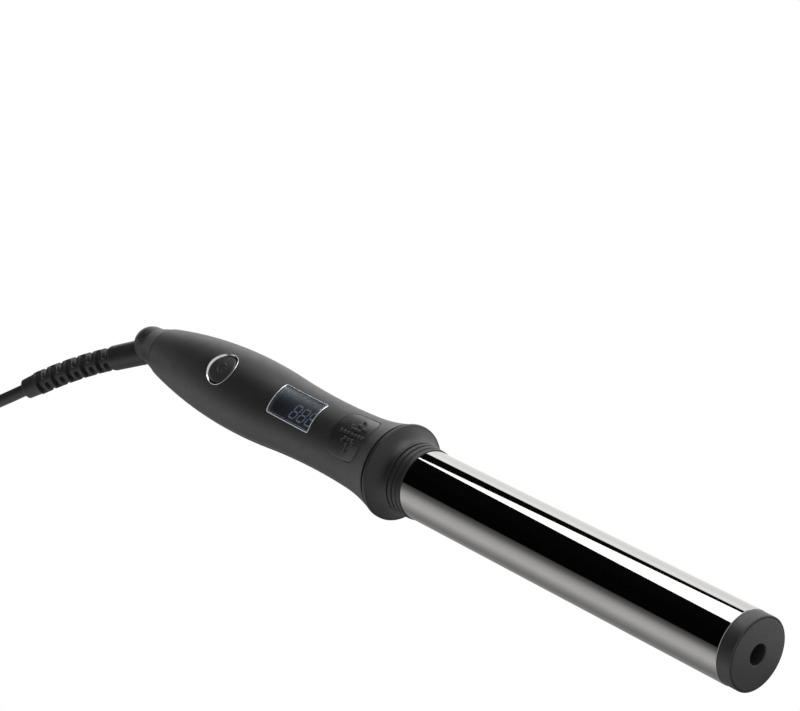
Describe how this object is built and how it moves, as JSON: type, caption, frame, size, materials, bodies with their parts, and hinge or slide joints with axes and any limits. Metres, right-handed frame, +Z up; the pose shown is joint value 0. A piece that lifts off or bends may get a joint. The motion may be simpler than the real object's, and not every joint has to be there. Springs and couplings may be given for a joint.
{
  "type": "curling iron",
  "caption": "Clipless curling iron: heated mirror barrel with a cool tip, flared collar, soft-touch handle with display and power button, and a swivelling mains cord.",
  "frame": {"origin": "on the table, under the middle of the iron from knuckle to tip, without its cord", "axes": "+X along the barrel from the cord end to the heated tip, +Z up through the power button, +Y to the left of someone looking along +X"},
  "size_m": [0.508, 0.1003, 0.0378],
  "materials": {
    "barrel_plating": "dark mirror plating",
    "soft_black": "soft-touch matt",
    "collar_plastic": "matt, heat resistant",
    "cap_plastic": "matt, heat resistant",
    "pad_rubber": "matt",
    "button_plastic": "matt",
    "bright_chrome": "polished",
    "window_plastic": "gloss, smoked",
    "lcd_glass": "gloss",
    "white_plastic": "satin",
    "black_plastic": "satin",
    "board_green": "solder mask",
    "capacitor_yellow": "satin",
    "ceramic_white": "matt",
    "mica": "satin",
    "spreader_aluminium": "extruded",
    "carrier_plastic": "satin",
    "steel": "bright",
    "brass": "bright",
    "wire_sleeve": "silicone",
    "bush_plastic": "satin",
    "cord_rubber": "satin",
    "plug_plastic": "satin"
  },
  "bodies": {
    "cord_set": {"knuckle": "soft_black", "slip_rings": "brass", "spindle_clip": "steel", "strain_relief": "cord_rubber", "cord": "cord_rubber", "cord_coil": "cord_rubber", "cord_tie": "black_plastic", "cord_tail": "cord_rubber", "plug_body": "plug_plastic", "plug_blades": "steel"},
    "iron": {"barrel": "barrel_plating", "barrel_carrier": "carrier_plastic", "tip_cap": "cap_plastic", "tip_screw": "steel", "tip_anchor": "steel", "collar": "collar_plastic", "ceramic_heater": "ceramic_white", "mica_sheets": "mica", "upper_heat_spreader": "spreader_aluminium", "lower_heat_spreader": "spreader_aluminium", "thermistor": "black_plastic", "thermal_fuse": "steel", "heater_leads": "wire_sleeve", "sensor_leads": "wire_sleeve", "upper_shell": "soft_black", "lower_shell": "soft_black", "shell_screws": "steel", "thumb_pad": "pad_rubber", "button_ring": "bright_chrome", "tact_switch": "black_plastic", "display_window": "window_plastic", "display_rim": "bright_chrome", "lcd_panel": "lcd_glass", "lcd_holder": "white_plastic", "main_board": "board_green", "control_chip": "black_plastic", "power_triac": "black_plastic", "film_capacitor": "capacitor_yellow", "board_fuse": "ceramic_white", "swivel_bush": "bush_plastic", "brush_housing": "carrier_plastic", "contact_brushes": "brass", "supply_leads": "wire_sleeve"},
    "button": {"power_button": "button_plastic", "switch_plunger": "white_plastic"}
  },
  "joints": [
    {"name": "cord_swivel", "type": "hinge", "parent": "cord_set", "child": "iron", "pos_m": [-0.144, 0, 0.0178], "axis": [1, 0, 0], "continuous": true},
    {"name": "power_button_press", "type": "slide", "parent": "iron", "child": "button", "axis": [0, 0, -1], "range_m": [0, 0.0008], "stiffness_N_per_m": 2000, "springref_m": -0.0005}
  ]
}
